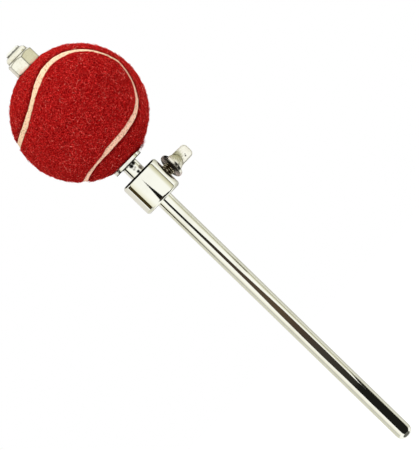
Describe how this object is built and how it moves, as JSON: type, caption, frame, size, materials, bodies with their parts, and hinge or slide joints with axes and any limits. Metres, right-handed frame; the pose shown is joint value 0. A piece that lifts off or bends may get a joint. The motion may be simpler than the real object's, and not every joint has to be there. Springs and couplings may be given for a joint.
{
  "type": "bass drum beater",
  "caption": "Bass drum beater: a felt-covered ball held on a plated rod by a lock nut, with a sliding balance weight that a thumb screw clamps.",
  "frame": {"origin": "centre of the rod's free end, the end that goes into the pedal", "axes": "+Z along the rod towards the ball, +X along the thumb screw away from the rod"},
  "size_m": [0.0638, 0.0638, 0.2535],
  "materials": {
    "plated_rod": "bright chrome plate",
    "plated_washer": "bright plate",
    "plated_weight": "bright chrome plate",
    "plated_nut": "satin plate",
    "plated_head": "nickel plated casting",
    "bronzed_steel": "dark bronzed thread",
    "red_felt": "napped wool felt",
    "seam_rubber": "matt rubber cement",
    "core_rubber": "moulded rubber",
    "nylon": "natural nylon"
  },
  "bodies": {
    "beater": {"shaft": "plated_rod", "seat_washer": "plated_washer", "core_half_lower": "core_rubber", "core_half_upper": "core_rubber", "felt_panel_a": "red_felt", "felt_panel_b": "red_felt", "seam_strip": "seam_rubber", "lock_nut": "plated_nut", "lock_nut_insert": "nylon"},
    "weight": {"weight_collar": "plated_weight"},
    "stud": {"clamp_screw_stud": "bronzed_steel"},
    "thumb_head": {"clamp_screw_head": "plated_head"}
  },
  "joints": [
    {"name": "weight_slide", "type": "slide", "parent": "beater", "child": "weight", "axis": [0, 0, 1], "range_m": [-0.15, 0.0055]},
    {"name": "screw_advance", "type": "slide", "parent": "weight", "child": "stud", "axis": [1, 0, 0], "range_m": [0, 0.002]},
    {"name": "screw_turn", "type": "hinge", "parent": "stud", "child": "thumb_head", "pos_m": [0.015, 0, 0.1639], "axis": [1, 0, 0], "range_deg": [0, 720]}
  ],
  "couplings": [
    {"joint": "screw_turn", "follows": "screw_advance", "rad_per_m": 6283.2}
  ]
}
